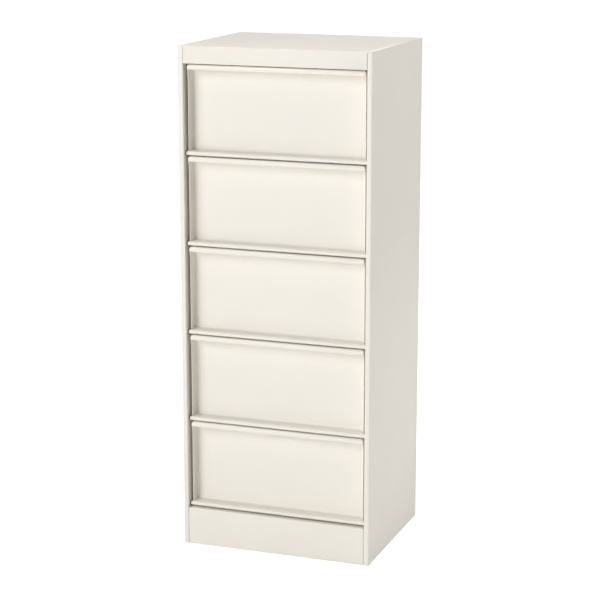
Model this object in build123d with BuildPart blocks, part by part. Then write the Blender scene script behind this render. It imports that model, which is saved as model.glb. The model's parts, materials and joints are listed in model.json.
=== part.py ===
"""Metal filing cabinet with five drop-down flaps, folded from steel sheet.

The frame is in millimetres: X to the right, Y to the back, Z up. The origin lies on the floor, in
the middle of the cabinet, and the front faces -Y.
"""

from build123d import *
import os

os.makedirs("parts", exist_ok=True)

# Overall size
width = 415.0
depth = 345.0
height = 1065.0
flap_count = 5

# Sheet and folds
sheet = 1.0
bend = 2.0  # outside radius of a fold
seam = 0.3  # gap left between two pieces of the shell that lie edge to edge
seat = 0.1  # radial clearance of a screw, rivet or stem in its hole

# Side panels
stile_width = 11.0
stile_depth = 41.3
rear_flange = 15.0
top_flange = 15.0
base_flange = 28.0
base_flange_setback = 17.5  # from the front plane to where the bottom flange starts

# Top cover, header rail and kick plate
fascia_height = 35.8
fascia_return = 16.0
cover_rear_flange = 20.0
header_flange = 20.0
kick_top = 83.2  # above the floor
kick_end_flange = 14.0
kick_bottom_return = 12.0

# Flaps
plinth_gap = 3.0  # from the kick plate up to the lowest roll
header_gap = 2.2  # from the highest flap up to the fascia
flap_gap = 2.2  # from a flap up to the roll above it
flap_side_gap = 5.5  # from a flap's side flange to the stile
pivot_setback = 12.5  # from the front plane back to the hinge line
roll_radius = 4.4
roll_end_gap = 1.7
panel_setback = 37.0  # from the front plane to the face of the panel
lip_setback = 8.0
lip_height = 10.5
lip_hem = 4.0
lip_edge = 2.0  # rounding of the lip's front edge
lip_taper = 12.0  # height over which the side flange widens to the lip
pan_corner = 5.0
pan_bend = 4.0
flap_sheet = 1.0

# Hinge
rod_radius = 3.0
rod_fit = 0.1  # radial clearance of the rod in the roll
bush_fit = 0.05  # radial running clearance of the rod in the bush
bush_barrel_radius = 3.9
bush_length = 8.0
bush_collar_radius = 5.3
bush_collar = 1.2
rod_end_float = 1.0  # from the rod's end to the bush's far end
rod_chamfer = 0.6

# Shelves
shelf_rise = 4.0  # from the hinge line up to the shelf's surface
shelf_drop = 30.0  # height of the shelf's front flange
shelf_return = 8.0
shelf_rear_flange = 15.0

# Bumpers
bumper_radius = 5.0
bumper_gap = 0.3
bumper_stem_radius = 2.0
bumper_button_radius = 3.2
bumper_button = 1.5
bumper_rise = 7.0  # from the shelf flange's lower edge to the bumper's centre
bumper_inset = 57.5  # from the cabinet's side

# Floor glides
glide_height = 2.5
glide_radius = 11.0
glide_stem_radius = 2.5
glide_stem = 6.0
glide_edge = 0.8

# Screws and rivets
screw_radius = 2.0
screw_length = 8.0
screw_head_radius = 3.9
screw_head = 2.4
kick_screw_inset = 22.0  # from the kick plate's lower and upper edge
rivet_radius = 1.6
rivet_head_radius = 3.5
rivet_head = 1.2
rivet_bulb_radius = 2.6
rivet_bulb = 2.0
rivet_inset = 7.5  # from the cabinet's side
rivet_end = 40.0  # from the cabinet's top and bottom to the first rivet
side_rivets = 7
row_rivet_pitch = 120.0

# Holes for fixing the cabinet to a wall
wall_hole_radius = 3.5
wall_hole_pitch = 300.0
wall_hole_drop = 60.0

# Planes and levels that several pieces share
half_sheet = sheet / 2
fold_radius = bend - half_sheet  # along the middle of the sheet
front = -depth / 2
back_face = depth / 2 - rivet_head  # outer face of the rear flanges
back_outer = back_face - sheet  # outer face of the back panel
back_inner = back_outer - sheet
side_inner = width / 2 - sheet
opening = width / 2 - stile_width  # half the width between the stiles
cover_bottom = height - sheet
shell_bottom = glide_height
fascia_bottom = height - fascia_height
stile_rear = front + stile_depth
base_front = front + base_flange_setback

pivot_y = front + pivot_setback
first_pivot = kick_top + plinth_gap + roll_radius
flap_room = fascia_bottom - header_gap + flap_gap + roll_radius - first_pivot
pitch = flap_room / flap_count
pivots = [first_pivot + n * pitch for n in range(flap_count)]
flap_half = opening - flap_side_gap
roll_half = opening - roll_end_gap
panel_rear = front + panel_setback + flap_sheet
lip_front = front + lip_setback

shelf_levels = [z + shelf_rise for z in pivots]
header_level = shelf_levels[-1] + pitch
flange_bottoms = [z - shelf_drop for z in shelf_levels + [header_level]]
bumper_levels = [z + bumper_rise for z in flange_bottoms[1:]]
bumper_x = width / 2 - bumper_inset
bumper_height = stile_rear - panel_rear - bumper_gap
screw_x = (opening + sheet + side_inner) / 2
screw_levels = [z + shelf_drop / 2 for z in flange_bottoms]
kick_screw_y = front + sheet + kick_end_flange / 2
kick_screw_levels = [shell_bottom + kick_screw_inset, kick_top - kick_screw_inset]
rivet_x = width / 2 - rivet_inset
rivet_step = (height - 2 * rivet_end) / (side_rivets - 1)
side_rivet_levels = [rivet_end + n * rivet_step for n in range(side_rivets)]
row_rivet_levels = [z - shelf_rear_flange / 2 for z in shelf_levels]
row_rivet_levels.append(height - cover_rear_flange / 2)
row_rivet_x = [n * row_rivet_pitch for n in (-1, 0, 1)]
glide_x = width / 2 - base_flange / 2
glide_y = (base_front + base_flange / 2, back_outer - base_flange / 2)


def folded(*centre_line):
    """Section of a sheet folded along the points of its centre line."""
    with BuildLine() as fold:
        FilletPolyline(*centre_line, radius=fold_radius)
    trace(fold.edges(), line_width=sheet)


def bore_along_y(positions, radius, start):
    """Cut holes through one thickness of sheet that begins at Y = start, at (x, z) positions."""
    with BuildSketch(Plane.XZ.offset(-start)) as holes:
        with Locations(*positions):
            Circle(radius)
    extrude(holes.sketch, amount=-sheet, mode=Mode.SUBTRACT)


def both_sides(x, levels):
    """The (x, z) positions at minus and plus x on each level."""
    return [(side * x, z) for z in levels for side in (-1, 1)]


def turned(x, y, z, direction, steps):
    """Solid of revolution along a direction from a point: steps are (length, radius) pairs."""
    with BuildSketch(Plane((x, y, z), x_dir=direction, z_dir=(0, 0, 1))) as profile:
        for start, (end, radius) in zip([0] + [step[0] for step in steps], steps):
            with Locations((start, 0)):
                Rectangle(end - start, radius, align=Align.MIN)
    revolve(profile.sketch, axis=Axis((x, y, z), direction))


# Side panels: a wall that folds round a box-shaped stile in front and to a flange at the back
with BuildPart() as side_panel_right:
    with BuildSketch(Plane.XY.offset(shell_bottom)):
        folded(
            (width / 2 - rear_flange, back_face - half_sheet),
            (width / 2 - half_sheet, back_face - half_sheet),
            (width / 2 - half_sheet, front + half_sheet),
            (opening + half_sheet, front + half_sheet),
            (opening + half_sheet, stile_rear - half_sheet),
            (side_inner - seam, stile_rear - half_sheet),
        )
    extrude(amount=cover_bottom - shell_bottom)
    with BuildSketch(Plane.XY.offset(cover_bottom - sheet)):
        with Locations((side_inner, stile_rear + header_flange + seam)):
            flange_run = back_inner - sheet - bend - stile_rear - header_flange - seam
            Rectangle(top_flange - sheet, flange_run, align=(Align.MAX, Align.MIN))
    extrude(amount=sheet)
    with BuildSketch(Plane.XY.offset(shell_bottom)):
        with Locations((side_inner, base_front)):
            Rectangle(base_flange - sheet, back_outer - base_front, align=(Align.MAX, Align.MIN))
        with Locations(*[(glide_x, y) for y in glide_y]):
            Circle(glide_stem_radius + seat, mode=Mode.SUBTRACT)
    extrude(amount=sheet)
    with BuildSketch(Plane.YZ.offset(opening)):
        with Locations(*[(pivot_y, z) for z in pivots]):
            Circle(bush_barrel_radius + seat)
        with Locations(*[(kick_screw_y, z) for z in kick_screw_levels]):
            Circle(screw_radius + seat)
    extrude(amount=sheet, mode=Mode.SUBTRACT)
    bore_along_y([(screw_x, z) for z in screw_levels], screw_radius + seat, stile_rear - sheet)
    bore_along_y([(rivet_x, z) for z in side_rivet_levels], rivet_radius + seat, back_outer)
side_panel_right.part.label = "side_panel_right"
export_step(side_panel_right.part, "parts/side_panel_right.step")

with BuildPart() as side_panel_left:
    mirror(side_panel_right.part, about=Plane.YZ)
side_panel_left.part.label = "side_panel_left"
export_step(side_panel_left.part, "parts/side_panel_left.step")

# Back panel: a flat sheet riveted to the rear flanges, the shelves and the cover
with BuildPart() as back_panel:
    with BuildSketch(Plane.XZ.offset(-back_inner)):
        with Locations((0, shell_bottom + sheet)):
            back_height = cover_bottom - shell_bottom - sheet
            back_width = 2 * (width / 2 - bend)
            Rectangle(back_width, back_height, align=(Align.CENTER, Align.MIN))
        with Locations(*both_sides(rivet_x, side_rivet_levels)):
            Circle(rivet_radius + seat, mode=Mode.SUBTRACT)
        with Locations(*[(x, z) for x in row_rivet_x for z in row_rivet_levels]):
            Circle(rivet_radius + seat, mode=Mode.SUBTRACT)
        with Locations(*both_sides(wall_hole_pitch / 2, [height - wall_hole_drop])):
            Circle(wall_hole_radius, mode=Mode.SUBTRACT)
    extrude(amount=-sheet)
back_panel.part.label = "back_panel"
export_step(back_panel.part, "parts/back_panel.step")

# Top cover: a plate over the whole top, folded down in front as the fascia between the stiles
with BuildPart() as top_cover:
    with BuildSketch(Plane.YZ):
        folded(
            (front + fascia_return, fascia_bottom + half_sheet),
            (front + half_sheet, fascia_bottom + half_sheet),
            (front + half_sheet, height - half_sheet),
            (back_inner - half_sheet, height - half_sheet),
            (back_inner - half_sheet, height - cover_rear_flange),
        )
    extrude(amount=opening - seam, both=True)
    bore_along_y([(x, row_rivet_levels[-1]) for x in row_rivet_x], rivet_radius + seat, back_inner - sheet)
    with BuildSketch(Plane.XY.offset(cover_bottom)) as cover_plate:
        with Locations((0, back_face)):
            Rectangle(width, back_face - front, align=(Align.CENTER, Align.MAX))
        fillet(cover_plate.vertices(), radius=bend)
        with Locations((0, front)):
            Rectangle(2 * (opening - seam), bend, align=(Align.CENTER, Align.MIN), mode=Mode.SUBTRACT)
    extrude(amount=sheet)
top_cover.part.label = "top_cover"
export_step(top_cover.part, "parts/top_cover.step")

# Header rail: stands behind the fascia between the side walls and stops the highest flap
with BuildPart() as header_rail:
    with BuildSketch(Plane.YZ):
        folded(
            (stile_rear + shelf_return, flange_bottoms[-1] + half_sheet),
            (stile_rear + half_sheet, flange_bottoms[-1] + half_sheet),
            (stile_rear + half_sheet, cover_bottom),
        )
    extrude(amount=side_inner - seam, both=True)
    with BuildSketch(Plane.YZ):
        with Locations((stile_rear, cover_bottom)):
            Rectangle(header_flange, sheet, align=(Align.MIN, Align.MAX))
    extrude(amount=side_inner - seam, both=True)
    bore_along_y(both_sides(screw_x, screw_levels[-1:]), screw_radius + seat, stile_rear)
    bore_along_y(both_sides(bumper_x, bumper_levels[-1:]), bumper_stem_radius + seat, stile_rear)
header_rail.part.label = "header_rail"
export_step(header_rail.part, "parts/header_rail.step")

# Kick plate: closes the base between the stiles, its top folded back to the lowest shelf
with BuildPart() as kick_plate:
    with BuildSketch(Plane.YZ):
        folded(
            (stile_rear, kick_top - half_sheet),
            (front + half_sheet, kick_top - half_sheet),
            (front + half_sheet, shell_bottom + half_sheet),
            (front + kick_bottom_return, shell_bottom + half_sheet),
        )
    extrude(amount=opening - seam, both=True)
    with BuildSketch(Plane.YZ) as end_flange:
        with Locations((front + half_sheet, shell_bottom + half_sheet)):
            Rectangle(kick_end_flange, kick_top - shell_bottom - sheet, align=Align.MIN)
        with Locations(*[(kick_screw_y, z) for z in kick_screw_levels]):
            Circle(screw_radius + seat, mode=Mode.SUBTRACT)
    for side in (-1, 1):
        outer_end = side * (opening - seam)
        extrude(end_flange.sketch.moved(Location((outer_end, 0, 0))), amount=-side * sheet)
kick_plate.part.label = "kick_plate"
export_step(kick_plate.part, "parts/kick_plate.step")

# Shelves: each hooks down in front against the stiles and behind against the back panel
for number, level in enumerate(shelf_levels, start=1):
    flange_bottom = flange_bottoms[number - 1]
    with BuildPart() as shelf:
        with BuildSketch(Plane.YZ):
            folded(
                (stile_rear + shelf_return, flange_bottom + half_sheet),
                (stile_rear + half_sheet, flange_bottom + half_sheet),
                (stile_rear + half_sheet, level - half_sheet),
                (back_inner - half_sheet, level - half_sheet),
                (back_inner - half_sheet, level - shelf_rear_flange),
            )
        extrude(amount=side_inner - seam, both=True)
        bore_along_y(both_sides(screw_x, screw_levels[number - 1 : number]), screw_radius + seat, stile_rear)
        rivet_row = [(x, row_rivet_levels[number - 1]) for x in row_rivet_x]
        bore_along_y(rivet_row, rivet_radius + seat, back_inner - sheet)
        if number > 1:
            stems = both_sides(bumper_x, [flange_bottom + bumper_rise])
            bore_along_y(stems, bumper_stem_radius + seat, stile_rear)
    shelf.part.label = f"shelf_{number}"
    export_step(shelf.part, f"parts/shelf_{number}.step")

# Flaps: a shallow pan, open to the front, with a finger lip on top and a roll below
for number, pivot_z in enumerate(pivots, start=1):
    pan_bottom = pivot_z + roll_radius - flap_sheet
    pan_top = pivot_z + pitch - roll_radius - flap_gap
    pan_middle = (pan_bottom + pan_top) / 2
    lip_bottom = pan_top - lip_height
    with BuildPart() as pan_hollow:
        with BuildSketch(Plane.XZ.offset(flap_sheet - panel_rear)):
            with Locations((0, pan_middle)):
                RectangleRounded(
                    2 * (flap_half - flap_sheet),
                    pan_top - pan_bottom - 2 * flap_sheet,
                    pan_corner - flap_sheet,
                )
        extrude(amount=panel_rear - lip_front - 2 * flap_sheet)
        fillet(faces().sort_by(Axis.Y)[-1].edges(), radius=pan_bend - flap_sheet)
    with BuildPart() as flap_panel:
        with BuildSketch(Plane.XZ.offset(-panel_rear)):
            with Locations((0, pan_middle)):
                RectangleRounded(2 * flap_half, pan_top - pan_bottom, pan_corner)
        extrude(amount=panel_rear - lip_front)
        fillet(faces().sort_by(Axis.Y)[-1].edges(), radius=pan_bend)
        add(pan_hollow.part, mode=Mode.SUBTRACT)
        fillet(faces().sort_by(Axis.Y)[0].edges().sort_by(Axis.Z)[-1], radius=lip_edge)
        with BuildSketch(Plane.XZ.offset(-lip_front)):
            with Locations((0, lip_bottom)):
                window_height = lip_bottom - pan_bottom - flap_sheet
                Rectangle(
                    2 * (flap_half - flap_sheet), window_height, align=(Align.CENTER, Align.MAX)
                )
        extrude(amount=-flap_sheet, mode=Mode.SUBTRACT)
        with BuildSketch(Plane.YZ):
            with BuildLine():
                Polyline(
                    (pivot_y, pan_bottom),
                    (pivot_y, lip_bottom - lip_taper),
                    (lip_front, lip_bottom),
                    (lip_front - roll_radius, lip_bottom),
                    (lip_front - roll_radius, pan_bottom),
                    close=True,
                )
            make_face()
        extrude(amount=flap_half, both=True, mode=Mode.SUBTRACT)
        with BuildSketch(Plane.YZ):
            with Locations((lip_front, lip_bottom)):
                Rectangle(lip_hem, flap_sheet, align=Align.MIN)
        extrude(amount=flap_half - flap_sheet, both=True)
        with BuildSketch(Plane.YZ):
            with Locations((pivot_y, pivot_z)):
                Circle(roll_radius)
        extrude(amount=roll_half, both=True)
        with BuildSketch(Plane.YZ):
            with Locations((pivot_y, pivot_z)):
                Circle(rod_radius + rod_fit)
        extrude(amount=roll_half, both=True, mode=Mode.SUBTRACT)
    flap_panel.part.label = f"flap_panel_{number}"
    export_step(flap_panel.part, f"parts/flap_panel_{number}.step")

    # Hinge rod: turns with its flap, its ends in the bushes of the stiles
    with BuildPart() as hinge_rod:
        with BuildSketch(Plane.YZ):
            with Locations((pivot_y, pivot_z)):
                Circle(rod_radius)
        extrude(amount=opening + bush_length - rod_end_float, both=True)
        chamfer(hinge_rod.edges().filter_by(GeomType.CIRCLE), length=rod_chamfer)
    hinge_rod.part.label = f"hinge_rod_{number}"
    export_step(hinge_rod.part, f"parts/hinge_rod_{number}.step")

# Pivot bushes: nylon, pressed into the stiles, with a collar towards the flap
with BuildPart() as pivot_bushes_right:
    with BuildSketch(Plane.YZ.offset(opening)):
        with Locations(*[(pivot_y, z) for z in pivots]):
            Circle(bush_barrel_radius)
    extrude(amount=bush_length)
    with BuildSketch(Plane.YZ.offset(opening)):
        with Locations(*[(pivot_y, z) for z in pivots]):
            Circle(bush_collar_radius)
    extrude(amount=-bush_collar)
    with BuildSketch(Plane.YZ.offset(opening - bush_collar)):
        with Locations(*[(pivot_y, z) for z in pivots]):
            Circle(rod_radius + bush_fit)
    extrude(amount=bush_collar + bush_length, mode=Mode.SUBTRACT)
pivot_bushes_right.part.label = "pivot_bushes_right"
export_step(pivot_bushes_right.part, "parts/pivot_bushes_right.step")

with BuildPart() as pivot_bushes_left:
    mirror(pivot_bushes_right.part, about=Plane.YZ)
pivot_bushes_left.part.label = "pivot_bushes_left"
export_step(pivot_bushes_left.part, "parts/pivot_bushes_left.step")

# Flap bumpers: rubber discs whose stems snap through the flange above each flap
with BuildPart() as flap_bumpers:
    for x, z in both_sides(bumper_x, bumper_levels):
        turned(
            x, stile_rear - bumper_height, z, (0, 1, 0),
            [
                (bumper_height, bumper_radius),
                (bumper_height + sheet, bumper_stem_radius),
                (bumper_height + sheet + bumper_button, bumper_button_radius),
            ],
        )
flap_bumpers.part.label = "flap_bumpers"
export_step(flap_bumpers.part, "parts/flap_bumpers.step")

# Screws that hold the shelves and the header rail to the stiles
with BuildPart() as shelf_screws:
    for x, z in both_sides(screw_x, screw_levels):
        turned(
            x, stile_rear + sheet + screw_head, z, (0, -1, 0),
            [(screw_head, screw_head_radius), (screw_head + screw_length, screw_radius)],
        )
shelf_screws.part.label = "shelf_screws"
export_step(shelf_screws.part, "parts/shelf_screws.step")

# Screws that hold the kick plate's end flanges to the stiles
with BuildPart() as kick_screws:
    for z in kick_screw_levels:
        for side in (-1, 1):
            turned(
                side * (opening - seam - sheet - screw_head), kick_screw_y, z, (side, 0, 0),
                [(screw_head, screw_head_radius), (screw_head + screw_length, screw_radius)],
            )
kick_screws.part.label = "kick_screws"
export_step(kick_screws.part, "parts/kick_screws.step")

# Rivets of the back panel: round heads outside, closing bulbs inside
with BuildPart() as back_rivets:
    for x, z in both_sides(rivet_x, side_rivet_levels):
        turned(
            x, back_face + rivet_head, z, (0, -1, 0),
            [
                (rivet_head, rivet_head_radius),
                (rivet_head + 2 * sheet, rivet_radius),
                (rivet_head + 2 * sheet + rivet_bulb, rivet_bulb_radius),
            ],
        )
    for x in row_rivet_x:
        for z in row_rivet_levels:
            turned(
                x, back_outer + rivet_head, z, (0, -1, 0),
                [
                    (rivet_head, rivet_head_radius),
                    (rivet_head + 2 * sheet, rivet_radius),
                    (rivet_head + 2 * sheet + rivet_bulb, rivet_bulb_radius),
                ],
            )
back_rivets.part.label = "back_rivets"
export_step(back_rivets.part, "parts/back_rivets.step")

# Floor glides: nylon discs with a stem in each corner of the base
with BuildPart() as floor_glides:
    with BuildSketch(Plane.XY):
        with Locations(*[(side * glide_x, y) for y in glide_y for side in (-1, 1)]):
            Circle(glide_radius)
    extrude(amount=glide_height)
    chamfer(edges().group_by(Axis.Z)[0], length=glide_edge)
    with BuildSketch(Plane.XY.offset(glide_height)):
        with Locations(*[(side * glide_x, y) for y in glide_y for side in (-1, 1)]):
            Circle(glide_stem_radius)
    extrude(amount=glide_stem)
floor_glides.part.label = "floor_glides"
export_step(floor_glides.part, "parts/floor_glides.step")
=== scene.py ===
"""Looks of the metal filing cabinet: ivory powder-coated sheet steel with five drop-down flaps."""
import json
import math

import bmesh
import bpy
from mathutils import Matrix, Vector


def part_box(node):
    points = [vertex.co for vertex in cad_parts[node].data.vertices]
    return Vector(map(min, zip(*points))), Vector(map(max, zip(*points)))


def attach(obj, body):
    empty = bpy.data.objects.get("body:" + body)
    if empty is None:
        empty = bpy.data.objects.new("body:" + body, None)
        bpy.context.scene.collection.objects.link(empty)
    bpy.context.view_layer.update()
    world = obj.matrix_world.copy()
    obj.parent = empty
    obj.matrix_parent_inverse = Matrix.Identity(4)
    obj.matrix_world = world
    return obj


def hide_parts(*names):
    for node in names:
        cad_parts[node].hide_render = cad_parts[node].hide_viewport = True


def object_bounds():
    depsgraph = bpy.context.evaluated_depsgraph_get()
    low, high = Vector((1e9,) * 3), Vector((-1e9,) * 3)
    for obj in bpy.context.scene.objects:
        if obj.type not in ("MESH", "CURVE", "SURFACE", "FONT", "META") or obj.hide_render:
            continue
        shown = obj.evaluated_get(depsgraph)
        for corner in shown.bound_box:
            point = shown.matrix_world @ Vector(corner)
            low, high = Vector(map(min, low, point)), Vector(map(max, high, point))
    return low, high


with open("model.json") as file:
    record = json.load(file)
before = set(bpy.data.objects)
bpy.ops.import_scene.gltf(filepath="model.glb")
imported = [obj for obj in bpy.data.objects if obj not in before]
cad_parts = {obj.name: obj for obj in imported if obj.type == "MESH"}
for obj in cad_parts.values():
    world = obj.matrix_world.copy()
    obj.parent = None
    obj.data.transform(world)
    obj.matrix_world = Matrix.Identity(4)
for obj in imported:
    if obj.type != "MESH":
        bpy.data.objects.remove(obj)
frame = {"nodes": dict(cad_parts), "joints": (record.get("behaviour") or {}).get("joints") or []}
cad_low, cad_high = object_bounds()
bpy.ops.object.select_all(action="DESELECT")

# Sheet metal, in metres
SHEET = 0.001
BEND = 0.002  # outside radius of a fold in the shell
SEAM = 0.0003
CUT_EDGE = 0.00025  # rounding of the painted cut edges
FOLD_STEPS = 5
FOLD_ANGLE = math.radians(60)  # edges sharper than this are folds
CUT_ANGLE = math.radians(50)  # edges sharper than this are cut edges
SMOOTH_ANGLE = math.radians(35)

REAR_FLANGE = 0.015
TOP_FLANGE = 0.014  # inwards from the wall's inner face, as is the base flange
BASE_FLANGE = 0.027
BASE_FLANGE_SETBACK = 0.0175
PIVOT_HOLE = 0.004
FASCIA_RETURN = 0.016
KICK_RETURN = 0.014
KICK_CORNER = 0.003

# Flaps
ROLL_RADIUS = 0.0044
ROLL_OVERHANG = 0.0038  # how far the roll stands out past the pan at each end
ROLL_TURN = math.radians(312)
ROLL_STEPS = 44
PAN_BEND_STEPS = 8
LIP_HEIGHT = 0.0105
LIP_HEM = 0.0035
LIP_TAPER = 0.012
PAN_WIDEST_BEND = 0.011
PAN_BENDS = {  # outside radius of each bend of the pan
    "panel_to_shelf": 0.011,
    "panel_to_side": 0.004,
    "panel_to_top": 0.005,
    "top_corner": 0.005,
    "lip_nose": 0.0034,
    "lip_end": 0.0016,
    "lip_hem": 0.0014,
}

# Rivets of the back panel
RIVET_SHANK_RADIUS = 0.0016
RIVET_HEAD_RADIUS = 0.0035
RIVET_HEAD = 0.0012
RIVET_DOME = 0.001  # rounding of the head's rim
RIVET_BULB_RADIUS = 0.0026
RIVET_BULB = 0.002
SIDE_RIVETS = 7
RIVET_END = 0.04  # from the cabinet's top and bottom to the first rivet
RIVET_INSET = 0.0075  # from the cabinet's side
ROW_PITCH = 0.12
COVER_REAR_FLANGE = 0.02
SHELF_REAR_FLANGE = 0.015

# Powder coat: features per metre
TONE_SCALE = 5
GLOSS_SCALE = 38
PEEL_SCALE = 620

# Shared levels, from the frame
half_width = cad_high.x
front = cad_low.y
top = cad_high.z
panel_low, panel_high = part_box("side_panel_right")
shell_bottom = panel_low.z
shell_back = panel_high.y
cover_bottom = panel_high.z
header_low, header_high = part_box("header_rail")
stile_rear = header_low.y
kick_low, kick_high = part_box("kick_plate")
opening = kick_high.x + SEAM
back_low, back_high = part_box("back_panel")
pivots = [Vector(joint["pos_m"]) for joint in frame["joints"]]


# Modelling helpers

def start_edit(piece):
    bpy.ops.object.select_all(action="DESELECT")
    bpy.context.view_layer.objects.active = piece
    piece.select_set(True)
    bpy.ops.object.mode_set(mode="EDIT")
    bpy.ops.mesh.select_all(action="DESELECT")


def end_edit():
    bpy.ops.object.mode_set(mode="OBJECT")


def pick(piece, kind, wanted):
    """In edit mode, select the vertices, edges or faces whose middle passes the test."""
    bpy.ops.mesh.select_mode(type=kind)
    bpy.ops.mesh.select_all(action="DESELECT")
    shape = bmesh.from_edit_mesh(piece.data)
    if kind == "VERT":
        for vertex in shape.verts:
            vertex.select_set(wanted(vertex.co))
    elif kind == "EDGE":
        for edge in shape.edges:
            ends = [vertex.co for vertex in edge.verts]
            edge.select_set(wanted(*ends))
    else:
        for face in shape.faces:
            face.select_set(wanted(face.calc_center_median(), face.normal))
    shape.select_flush_mode()
    bmesh.update_edit_mesh(piece.data)


def near(a, b):
    return abs(a - b) < 1e-5


def place(piece):
    """Put a primitive's turn and scale into its mesh, with the object at the origin."""
    bpy.ops.object.select_all(action="DESELECT")
    bpy.context.view_layer.objects.active = piece
    piece.select_set(True)
    bpy.ops.object.transform_apply(location=True, rotation=True, scale=True)


def block(name, low, high):
    """A block between two corners, to be shaped further."""
    middle = (Vector(low) + Vector(high)) / 2
    bpy.ops.mesh.primitive_cube_add(size=1, location=middle)
    piece = bpy.context.object
    piece.name = name
    piece.scale = Vector(high) - Vector(low)
    place(piece)
    return piece


def plate(name, corner, along, across):
    """A flat plate from a corner, spanned by two edges, to be shaped further."""
    along, across = Vector(along), Vector(across)
    normal = along.normalized().cross(across.normalized())
    turn = Matrix((along.normalized(), across.normalized(), normal)).transposed()
    bpy.ops.mesh.primitive_plane_add(size=1)
    piece = bpy.context.object
    piece.name = name
    middle = Vector(corner) + (along + across) / 2
    piece.matrix_world = Matrix.Translation(middle) @ turn.to_4x4()
    piece.scale = (along.length, across.length, 1)
    place(piece)
    return piece


def extrude(step):
    bpy.ops.mesh.extrude_region_move(TRANSFORM_OT_translate={"value": step})


def add_modifier(piece, kind, **settings):
    """Add a modifier with its settings and apply it at once."""
    bpy.ops.object.select_all(action="DESELECT")
    bpy.context.view_layer.objects.active = piece
    piece.select_set(True)
    modifier = piece.modifiers.new(kind.lower(), kind)
    for setting, value in settings.items():
        setattr(modifier, setting, value)
    bpy.ops.object.modifier_apply(modifier=modifier.name)


def bend_folds(piece, radius, keep_apart=False):
    """Round every fold of a thin sheet, by less where two bends would meet if keep_apart is set."""
    add_modifier(
        piece, "BEVEL", width=radius, segments=FOLD_STEPS,
        limit_method="ANGLE", angle_limit=FOLD_ANGLE, use_clamp_overlap=keep_apart,
    )


def give_thickness(piece, offset):
    """Turn a thin sheet into a solid one. Offset -1 grows inwards and 0 to both sides."""
    add_modifier(
        piece, "SOLIDIFY", thickness=SHEET, offset=offset, use_even_offset=True,
        use_quality_normals=True,
    )


def soften_edges(piece, width=CUT_EDGE):
    add_modifier(
        piece, "BEVEL", width=width, segments=2, limit_method="ANGLE",
        angle_limit=CUT_ANGLE, use_clamp_overlap=True,
    )


def smooth(piece):
    bpy.ops.object.select_all(action="DESELECT")
    bpy.context.view_layer.objects.active = piece
    piece.select_set(True)
    bpy.ops.object.shade_smooth_by_angle(angle=SMOOTH_ANGLE)


def drill(piece, centres, radius, length, axis):
    """Bore round holes through a piece."""
    turn = Vector(axis).to_track_quat("Z", "Y").to_euler()
    for centre in centres:
        bpy.ops.mesh.primitive_cylinder_add(
            vertices=32, radius=radius, depth=length, location=centre, rotation=turn
        )
        cutter = bpy.context.object
        add_modifier(piece, "BOOLEAN", object=cutter, operation="DIFFERENCE", solver="EXACT")
        bpy.data.objects.remove(cutter)


def put_in_order(piece):
    """Sort a mesh's elements by place, since extruding a ring of faces leaves them in any order."""
    shape = bmesh.new()
    shape.from_mesh(piece.data)
    middles = (
        (shape.verts, lambda vertex: vertex.co),
        (shape.edges, lambda edge: edge.verts[0].co + edge.verts[1].co),
        (shape.faces, lambda face: face.calc_center_median()),
    )
    for elements, middle in middles:
        ranked = sorted(elements, key=lambda element: tuple(round(c, 7) for c in middle(element)))
        for rank, element in enumerate(ranked):
            element.index = rank
        elements.sort()
    shape.to_mesh(piece.data)
    shape.free()


def joined(name, pieces):
    bpy.ops.object.select_all(action="DESELECT")
    for piece in pieces:
        piece.select_set(True)
    bpy.context.view_layer.objects.active = pieces[0]
    bpy.ops.object.join()
    pieces[0].name = name
    pieces[0].data.name = name
    return pieces[0]


def copied(piece, name, step):
    """A copy with its own mesh, moved by a step within the mesh."""
    twin = piece.copy()
    twin.data = piece.data.copy()
    twin.name = name
    twin.data.name = name
    bpy.context.collection.objects.link(twin)
    twin.data.transform(Matrix.Translation(step))
    return twin


def mirrored(piece, name):
    """A copy mirrored to the other side of the cabinet, turned the right way out."""
    twin = copied(piece, name, (0, 0, 0))
    twin.data.transform(Matrix.Scale(-1, 4, (1, 0, 0)))
    twin.data.flip_normals()
    return twin


def dress(piece, material, slot, body, *nodes):
    """Give a piece its finish and body, in place of the plain parts that it stands for."""
    piece.data.materials.clear()
    piece.data.materials.append(material)
    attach(piece, body)
    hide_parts(*nodes)


# Materials

def principled(name, colour, roughness, **more):
    material = bpy.data.materials.new(name)
    material.use_nodes = True
    shader = material.node_tree.nodes["Principled BSDF"]
    shader.inputs["Base Color"].default_value = (*colour, 1)
    shader.inputs["Roughness"].default_value = roughness
    for socket, value in more.items():
        shader.inputs[socket.replace("_", " ")].default_value = value
    return material, shader


def noise(material, scale, detail, stretch=(1, 1, 1)):
    """Noise on the object's own coordinates, in features per metre."""
    nodes, links = material.node_tree.nodes, material.node_tree.links
    coordinates = nodes.new("ShaderNodeTexCoord")
    mapping = nodes.new("ShaderNodeMapping")
    mapping.inputs["Scale"].default_value = stretch
    texture = nodes.new("ShaderNodeTexNoise")
    texture.inputs["Scale"].default_value = scale
    texture.inputs["Detail"].default_value = detail
    links.new(coordinates.outputs["Object"], mapping.inputs["Vector"])
    links.new(mapping.outputs["Vector"], texture.inputs["Vector"])
    return texture.outputs["Fac"]


def spread(material, value, low, high):
    """Stretch a noise value's middle range to the range low to high."""
    nodes, links = material.node_tree.nodes, material.node_tree.links
    ramp = nodes.new("ShaderNodeMapRange")
    ramp.inputs["From Min"].default_value = 0.3
    ramp.inputs["From Max"].default_value = 0.7
    ramp.inputs["To Min"].default_value = low
    ramp.inputs["To Max"].default_value = high
    links.new(value, ramp.inputs["Value"])
    return ramp.outputs["Result"]


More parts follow.
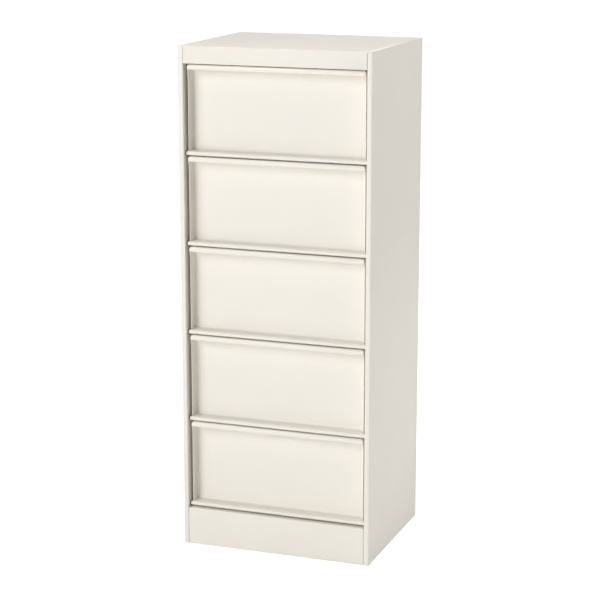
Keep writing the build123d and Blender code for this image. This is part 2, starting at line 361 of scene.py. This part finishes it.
def blended(material, value, first, second):
    nodes, links = material.node_tree.nodes, material.node_tree.links
    mix = nodes.new("ShaderNodeMix")
    mix.data_type = "RGBA"
    mix.inputs["A"].default_value = (*first, 1)
    mix.inputs["B"].default_value = (*second, 1)
    links.new(value, mix.inputs["Factor"])
    return mix.outputs["Result"]


def bumped(material, shader, value, strength, distance):
    nodes, links = material.node_tree.nodes, material.node_tree.links
    bump = nodes.new("ShaderNodeBump")
    bump.inputs["Strength"].default_value = strength
    bump.inputs["Distance"].default_value = distance
    links.new(value, bump.inputs["Height"])
    links.new(bump.outputs["Normal"], shader.inputs["Normal"])


def powder_coat(name, light, dark):
    """Satin powder coat: a fine orange peel over broad, faint shifts of tone and gloss."""
    material, shader = principled(name, light, 0.42, Specular_IOR_Level=0.45)
    links = material.node_tree.links
    tone = spread(material, noise(material, TONE_SCALE, 3), 0, 1)
    links.new(blended(material, tone, light, dark), shader.inputs["Base Color"])
    gloss = spread(material, noise(material, GLOSS_SCALE, 4), 0.38, 0.47)
    links.new(gloss, shader.inputs["Roughness"])
    bumped(material, shader, noise(material, PEEL_SCALE, 2), 0.12, 0.00025)
    return material


def moulded(name, colour, roughness, grain):
    """Moulded nylon or rubber with a fine even grain."""
    material, shader = principled(name, colour, roughness)
    pale = tuple(min(1, c * 1.35 + 0.004) for c in colour)
    tone = spread(material, noise(material, 60, 3), 0, 1)
    material.node_tree.links.new(blended(material, tone, colour, pale), shader.inputs["Base Color"])
    bumped(material, shader, noise(material, grain, 3), 0.25, 0.0001)
    return material


def bright_steel(name, colour, roughness, stretch):
    """Metal with fine drawing or plating marks along one direction."""
    material, shader = principled(name, colour, roughness, Metallic=1.0)
    links = material.node_tree.links
    marks = noise(material, 900, 4, stretch)
    links.new(spread(material, marks, roughness * 0.75, roughness * 1.3), shader.inputs["Roughness"])
    bumped(material, shader, marks, 0.15, 0.00005)
    return material


# The shell

def side_panel():
    """The right side panel: rear flange, wall, stile front, return and closing fold."""
    mid = SHEET / 2
    fold = [
        (half_width - REAR_FLANGE, shell_back - mid),
        (half_width - mid, shell_back - mid),
        (half_width - mid, front + mid),
        (opening + mid, front + mid),
        (opening + mid, stile_rear - mid),
        (half_width - SHEET - SEAM, stile_rear - mid),
    ]
    corners = [Vector((x, y, shell_bottom)) for x, y in fold]
    rise = Vector((0, 0, cover_bottom - shell_bottom))
    panel = plate("side_wall", corners[0], corners[1] - corners[0], rise)
    start_edit(panel)
    pick(panel, "EDGE", lambda a, b: near(a.x, corners[1].x) and near(b.x, corners[1].x))
    for start, end in zip(corners[1:], corners[2:]):
        extrude(end - start)
    end_edit()
    bend_folds(panel, BEND - mid)
    give_thickness(panel, 0)
    soften_edges(panel)
    drill(
        panel, [(opening + mid, pivot.y, pivot.z) for pivot in pivots], PIVOT_HOLE, 4 * SHEET, (1, 0, 0)
    )
    inner = half_width - SHEET
    head = block(
        "head_flange",
        (inner - TOP_FLANGE, header_high.y + SEAM, cover_bottom - SHEET),
        (inner, back_low.y - SHEET - BEND, cover_bottom),
    )
    foot = block(
        "foot_flange",
        (inner - BASE_FLANGE, front + BASE_FLANGE_SETBACK, shell_bottom),
        (inner, back_high.y, shell_bottom + SHEET),
    )
    soften_edges(head)
    soften_edges(foot)
    return joined("side_panel_right_sheet", [panel, head, foot])


def top_cover():
    """A plate over the whole top, folded down between the stiles as the fascia."""
    fascia_half = opening - SEAM
    fascia_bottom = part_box("top_cover")[0].z
    cover = plate(
        "top_cover_sheet",
        (-half_width, front, top),
        (2 * half_width, 0, 0),
        (0, shell_back - front, 0),
    )
    start_edit(cover)
    for side in (-1, 1):
        bpy.ops.mesh.select_all(action="SELECT")
        bpy.ops.mesh.bisect(plane_co=(side * fascia_half, 0, 0), plane_no=(1, 0, 0))
    pick(
        cover, "EDGE",
        lambda a, b: near(a.y, front) and near(b.y, front) and abs(a.x + b.x) < fascia_half,
    )
    extrude((0, 0, fascia_bottom - top))
    extrude((0, FASCIA_RETURN, 0))
    end_edit()
    bend_folds(cover, BEND)
    start_edit(cover)
    pick(
        cover, "VERT",
        lambda v: near(abs(v.x), half_width) and (near(v.y, front) or near(v.y, shell_back)),
    )
    bpy.ops.mesh.bevel(offset=BEND, segments=FOLD_STEPS, affect="VERTICES")
    bpy.ops.mesh.select_all(action="SELECT")
    bpy.ops.mesh.normals_make_consistent(inside=False)
    end_edit()
    if max(cover.data.polygons, key=lambda face: face.area).normal.z < 0:
        cover.data.flip_normals()
    give_thickness(cover, -1)
    soften_edges(cover)
    rear_flange = block(
        "cover_rear_flange",
        (-fascia_half, back_low.y - SHEET, top - COVER_REAR_FLANGE),
        (fascia_half, back_low.y, top - SHEET),
    )
    soften_edges(rear_flange)
    return joined("top_cover_sheet", [cover, rear_flange])


def kick_plate():
    """A tray on edge: its front closes the base, its rims fold back to the stiles and the shelf."""
    rear = front + KICK_RETURN
    kick = block(
        "kick_plate_sheet",
        (kick_low.x, front, shell_bottom),
        (kick_high.x, rear, kick_high.z),
    )
    start_edit(kick)
    pick(kick, "FACE", lambda centre, normal: normal.y > 0.9)
    bpy.ops.mesh.delete(type="ONLY_FACE")
    pick(kick, "EDGE", lambda a, b: all(near(v.y, rear) and near(v.z, kick_high.z) for v in (a, b)))
    extrude((0, stile_rear - rear, 0))
    pick(kick, "EDGE", lambda a, b: near(a.x, b.x) and near(a.z, b.z) and near(min(a.y, b.y), front))
    bpy.ops.mesh.bevel(offset=KICK_CORNER, segments=FOLD_STEPS, affect="EDGES")
    end_edit()
    bend_folds(kick, BEND, keep_apart=True)
    give_thickness(kick, -1)
    soften_edges(kick)
    return kick


def back_rivet():
    """A rivet at the origin: a domed head on the plane Y = 0, its shank and bulb towards -Y."""
    bpy.ops.mesh.primitive_cylinder_add(
        vertices=28, radius=RIVET_HEAD_RADIUS, depth=RIVET_HEAD,
        location=(0, RIVET_HEAD / 2, 0), rotation=(math.radians(90), 0, 0),
    )
    rivet = bpy.context.object
    place(rivet)
    start_edit(rivet)
    pick(rivet, "EDGE", lambda a, b: near(a.y, RIVET_HEAD) and near(b.y, RIVET_HEAD))
    bpy.ops.mesh.bevel(offset=RIVET_DOME, segments=5, affect="EDGES")
    pick(rivet, "FACE", lambda centre, normal: normal.y < -0.9)
    bpy.ops.mesh.inset(thickness=RIVET_HEAD_RADIUS - RIVET_SHANK_RADIUS)
    extrude((0, -2 * SHEET, 0))
    extrude((0, 0, 0))
    widen = RIVET_BULB_RADIUS / RIVET_SHANK_RADIUS
    bpy.ops.transform.resize(value=(widen, 1, widen))
    extrude((0, -RIVET_BULB, 0))
    end = -2 * SHEET - RIVET_BULB
    pick(rivet, "EDGE", lambda a, b: near(a.y, end) and near(b.y, end))
    bpy.ops.mesh.bevel(offset=RIVET_DOME / 2, segments=3, affect="EDGES")
    end_edit()
    put_in_order(rivet)
    return rivet


def back_rivets():
    """Rivets down both edges of the back panel, and in rows into the shelves and the cover."""
    step = (top - 2 * RIVET_END) / (SIDE_RIVETS - 1)
    places = [
        (side * (half_width - RIVET_INSET), shell_back, RIVET_END + n * step)
        for n in range(SIDE_RIVETS)
        for side in (-1, 1)
    ]
    rows = [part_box(f"shelf_{n}")[1].z - SHELF_REAR_FLANGE / 2 for n in range(1, len(pivots) + 1)]
    rows.append(top - COVER_REAR_FLANGE / 2)
    places += [(n * ROW_PITCH, back_high.y, z) for z in rows for n in (-1, 0, 1)]
    rivet = back_rivet()
    rivets = [copied(rivet, "back_rivet", at) for at in places]
    bpy.data.objects.remove(rivet)
    return joined("back_rivets_domed", rivets)


# The flaps

def flap(low, high, pivot):
    """One sheet: the pan with its finger lip and side flanges, and the roll round the hinge rod."""
    side = high.x - ROLL_OVERHANG
    bottom = pivot.z + ROLL_RADIUS - SHEET
    lip_bottom = high.z - LIP_HEIGHT
    pan = block("flap_sheet_1", (-side, low.y, bottom), (side, high.y, high.z))
    start_edit(pan)
    for level in (lip_bottom, lip_bottom - LIP_TAPER):
        bpy.ops.mesh.select_all(action="SELECT")
        bpy.ops.mesh.bisect(plane_co=(0, 0, level), plane_no=(0, 0, 1))
    pick(pan, "FACE", lambda centre, normal: normal.y < -0.9 and centre.z < lip_bottom)
    bpy.ops.mesh.delete(type="FACE")
    pick(pan, "VERT", lambda v: near(v.y, low.y) and v.z < lip_bottom - LIP_TAPER / 2)
    bpy.ops.transform.translate(value=(0, pivot.y - low.y, 0))
    pick(pan, "EDGE", lambda a, b: all(near(v.y, low.y) and near(v.z, lip_bottom) for v in (a, b)))
    extrude((0, LIP_HEM, 0))
    for end in (-1, 1):
        pick(pan, "VERT", lambda v: near(v.y, pivot.y) and near(v.z, bottom) and near(v.x, end * side))
        extrude((end * ROLL_OVERHANG, 0, 0))
    pick(pan, "EDGE", lambda a, b: all(near(v.y, pivot.y) and near(v.z, bottom) for v in (a, b)))
    bpy.ops.mesh.spin(steps=ROLL_STEPS, angle=-ROLL_TURN, center=pivot, axis=(1, 0, 0))
    bpy.ops.mesh.select_all(action="SELECT")
    bpy.ops.mesh.remove_doubles(threshold=1e-6)
    bpy.ops.mesh.normals_make_consistent(inside=False)
    shape = bmesh.from_edit_mesh(pan.data)
    weight = shape.edges.layers.float.new("bevel_weight_edge")
    for edge in shape.edges:
        a, b = (vertex.co for vertex in edge.verts)
        bend = which_bend(a, b, side, low.y, high.y, high.z, lip_bottom)
        if bend:
            edge[weight] = PAN_BENDS[bend] / PAN_WIDEST_BEND
    bmesh.update_edit_mesh(pan.data)
    end_edit()
    if max(pan.data.polygons, key=lambda face: face.area).normal.y < 0:
        pan.data.flip_normals()
    add_modifier(
        pan, "BEVEL", width=PAN_WIDEST_BEND, segments=PAN_BEND_STEPS, limit_method="WEIGHT",
        use_clamp_overlap=False, miter_outer="MITER_ARC",
    )
    give_thickness(pan, -1)
    soften_edges(pan)
    return pan


def which_bend(a, b, side, lip_front, panel_rear, top_edge, lip_bottom):
    """The name of the pan's bend that lies along the edge from a to b, or None."""
    at_side = near(abs(a.x), side) and near(a.x, b.x)
    at_rear = near(a.y, panel_rear) and near(b.y, panel_rear)
    at_lip = near(a.y, lip_front) and near(b.y, lip_front)
    level = near(a.z, b.z)
    if at_rear and at_side:
        return "panel_to_side"
    if at_rear and level and near(a.z, top_edge):
        return "panel_to_top"
    if at_rear and level and a.z < lip_bottom - 2 * LIP_TAPER:
        return "panel_to_shelf"
    if at_side and level and near(a.z, top_edge):
        return "top_corner"
    if at_lip and at_side:
        return "lip_end"
    if at_lip and level:
        return "lip_nose" if near(a.z, top_edge) else "lip_hem"
    return None


# Build the pieces and hang them on their bodies

shell_paint = powder_coat("shell_powder_coat", (0.862, 0.829, 0.766), (0.848, 0.813, 0.748))
flap_paint = powder_coat("flap_powder_coat", (0.866, 0.834, 0.773), (0.852, 0.818, 0.755))
nylon = moulded("black_nylon", (0.018, 0.018, 0.018), 0.45, 1500)
rubber = moulded("bumper_rubber", (0.03, 0.03, 0.03), 0.75, 900)
rod_steel = bright_steel("drawn_rod_steel", (0.56, 0.56, 0.55), 0.28, (0.05, 1, 1))
zinc = bright_steel("zinc_plate", (0.66, 0.66, 0.64), 0.35, (1, 1, 1))

right_panel = side_panel()
left_panel = mirrored(right_panel, "side_panel_left_sheet")
cover = top_cover()
kick = kick_plate()
rivets = back_rivets()
for piece in (right_panel, left_panel, cover, kick, rivets):
    smooth(piece)
dress(right_panel, shell_paint, "shell_paint", "cabinet", "side_panel_right")
dress(left_panel, shell_paint, "shell_paint", "cabinet", "side_panel_left")
dress(cover, shell_paint, "shell_paint", "cabinet", "top_cover")
dress(kick, shell_paint, "shell_paint", "cabinet", "kick_plate")
dress(rivets, shell_paint, "rivet_paint", "cabinet", "back_rivets")

flap_low, flap_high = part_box("flap_panel_1")
first_flap = flap(flap_low, flap_high, pivots[0])
smooth(first_flap)
flaps = [first_flap]
for number, pivot in enumerate(pivots[1:], start=2):
    flaps.append(copied(first_flap, f"flap_sheet_{number}", (0, 0, pivot.z - pivots[0].z)))
for number, piece in enumerate(flaps, start=1):
    dress(piece, flap_paint, "flap_paint", f"flap_{number}", f"flap_panel_{number}")

CAD_FINISHES = {
    "back_panel": shell_paint,
    "header_rail": shell_paint,
    "shelf": shell_paint,
    "hinge_rod": rod_steel,
    "pivot_bushes": nylon,
    "floor_glides": nylon,
    "flap_bumpers": rubber,
    "shelf_screws": zinc,
    "kick_screws": zinc,
}
for name, node in frame["nodes"].items():
    starts = [start for start in CAD_FINISHES if name.startswith(start)]
    for material_slot in node.material_slots:
        if starts:
            material_slot.material = CAD_FINISHES[max(starts, key=len)]


# Studio

def seen_or_cast(nodes, links, seen, cast):
    """One strength for what the camera sees and another for what falls on the object."""
    path = nodes.new("ShaderNodeLightPath")
    strength = nodes.new("ShaderNodeMapRange")
    strength.inputs["To Min"].default_value = cast
    strength.inputs["To Max"].default_value = seen
    links.new(path.outputs["Is Camera Ray"], strength.inputs["Value"])
    return strength.outputs["Result"]


def studio_floor(seen, cast):
    bpy.ops.mesh.primitive_plane_add(size=160, location=(0, 0, 0))
    floor = bpy.context.object
    floor.name = "studio_floor"
    material, shader = principled("studio_floor_white", (0.9, 0.9, 0.9), 0.9)
    shader.inputs["Specular IOR Level"].default_value = 0.1
    shader.inputs["Emission Color"].default_value = (1, 1, 1, 1)
    nodes, links = material.node_tree.nodes, material.node_tree.links
    links.new(seen_or_cast(nodes, links, seen, cast), shader.inputs["Emission Strength"])
    floor.data.materials.append(material)


def studio_world(seen, cast, cast_colour):
    """A white backdrop that shines less, and warmer, on the object than it shows."""
    world = bpy.context.scene.world or bpy.data.worlds.new("studio")
    bpy.context.scene.world = world
    world.use_nodes = True
    nodes, links = world.node_tree.nodes, world.node_tree.links
    path = nodes.new("ShaderNodeLightPath")
    colour = nodes.new("ShaderNodeMix")
    colour.data_type = "RGBA"
    colour.inputs["A"].default_value = (*cast_colour, 1)
    colour.inputs["B"].default_value = (1, 1, 1, 1)
    links.new(path.outputs["Is Camera Ray"], colour.inputs["Factor"])
    links.new(colour.outputs["Result"], nodes["Background"].inputs["Color"])
    links.new(seen_or_cast(nodes, links, seen, cast), nodes["Background"].inputs["Strength"])


def soft_light(name, place_at, aim_at, size, power):
    bpy.ops.object.light_add(type="AREA", location=place_at)
    lamp = bpy.context.object
    lamp.name = name
    lamp.data.shape = "RECTANGLE"
    lamp.data.size, lamp.data.size_y = size
    lamp.data.energy = power
    direction = Vector(aim_at) - Vector(place_at)
    lamp.rotation_euler = direction.to_track_quat("-Z", "Y").to_euler()


def studio_camera(azimuth, elevation, distance, aim_at, lens):
    turn, tilt = math.radians(azimuth), math.radians(elevation)
    back = Vector((math.sin(turn) * math.cos(tilt), -math.cos(turn) * math.cos(tilt), math.sin(tilt)))
    bpy.ops.object.camera_add(location=Vector(aim_at) + back * distance)
    camera = bpy.context.object
    camera.rotation_euler = (-back).to_track_quat("-Z", "Y").to_euler()
    camera.data.lens = lens
    camera.data.sensor_width = 36
    bpy.context.scene.camera = camera


studio_floor(seen=1.0, cast=0.04)
studio_world(seen=1.0, cast=0.10, cast_colour=(1.0, 0.92, 0.76))
soft_light("key_light", (-1.8, -3.6, 2.5), (0, 0, 0.5), (2.2, 2.2), 83)
soft_light("front_light", (-0.4, -4.0, 0.5), (0, 0, 0.3), (2.0, 1.2), 42)
soft_light("side_light", (2.9, 1.3, 1.5), (0, 0, 0.5), (1.8, 1.8), 41)
soft_light("top_light", (0.2, 0.6, 3.6), (0, 0.1, 0), (3.0, 3.0), 82)
bpy.context.scene.cycles.diffuse_bounces = 10
bpy.context.scene.view_settings.view_transform = "Standard"
studio_camera(20.08, 12.93, 4.038, (-0.0064, 0, 0.5155), 113.45)
